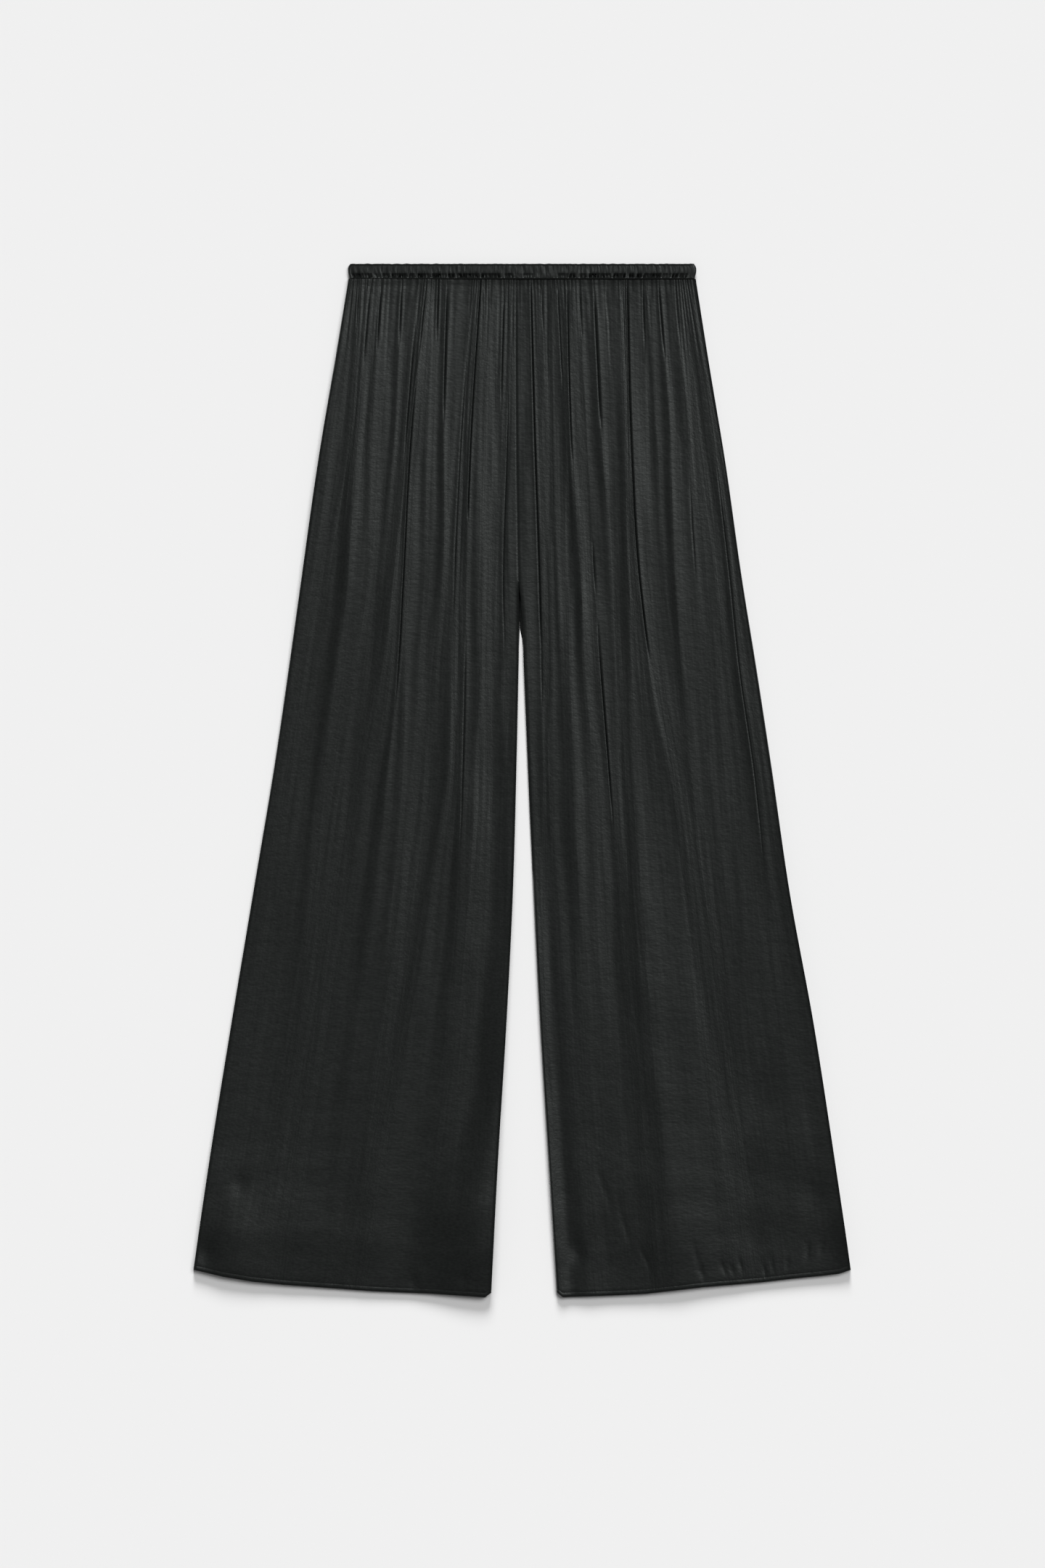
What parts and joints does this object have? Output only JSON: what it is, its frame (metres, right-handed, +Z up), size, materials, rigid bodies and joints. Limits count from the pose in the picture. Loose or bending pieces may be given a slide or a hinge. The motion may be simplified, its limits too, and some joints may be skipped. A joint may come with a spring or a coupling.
{
  "type": "palazzo pants",
  "caption": "Wide-legged satin trousers laid flat with the front up, gathered under a narrow elastic casing at the waist, with long soft folds and plain turned hems.",
  "frame": {"origin": "middle of the laid garment's outline, on the surface it lies on", "axes": "+Y towards the waist, +X towards the wearer's left leg, +Z up out of the front"},
  "size_m": [0.67, 1.0528, 0.0066],
  "materials": {
    "satin": "black viscose satin, fine weave, low sheen in long vertical streaks",
    "waistband": "black viscose satin, finely ruched over an elastic"
  },
  "bodies": {
    "root": {"front_leg_left": "satin", "front_leg_right": "satin", "back_leg_left": "satin", "back_leg_right": "satin", "waistband": "waistband"}
  },
  "joints": []
}
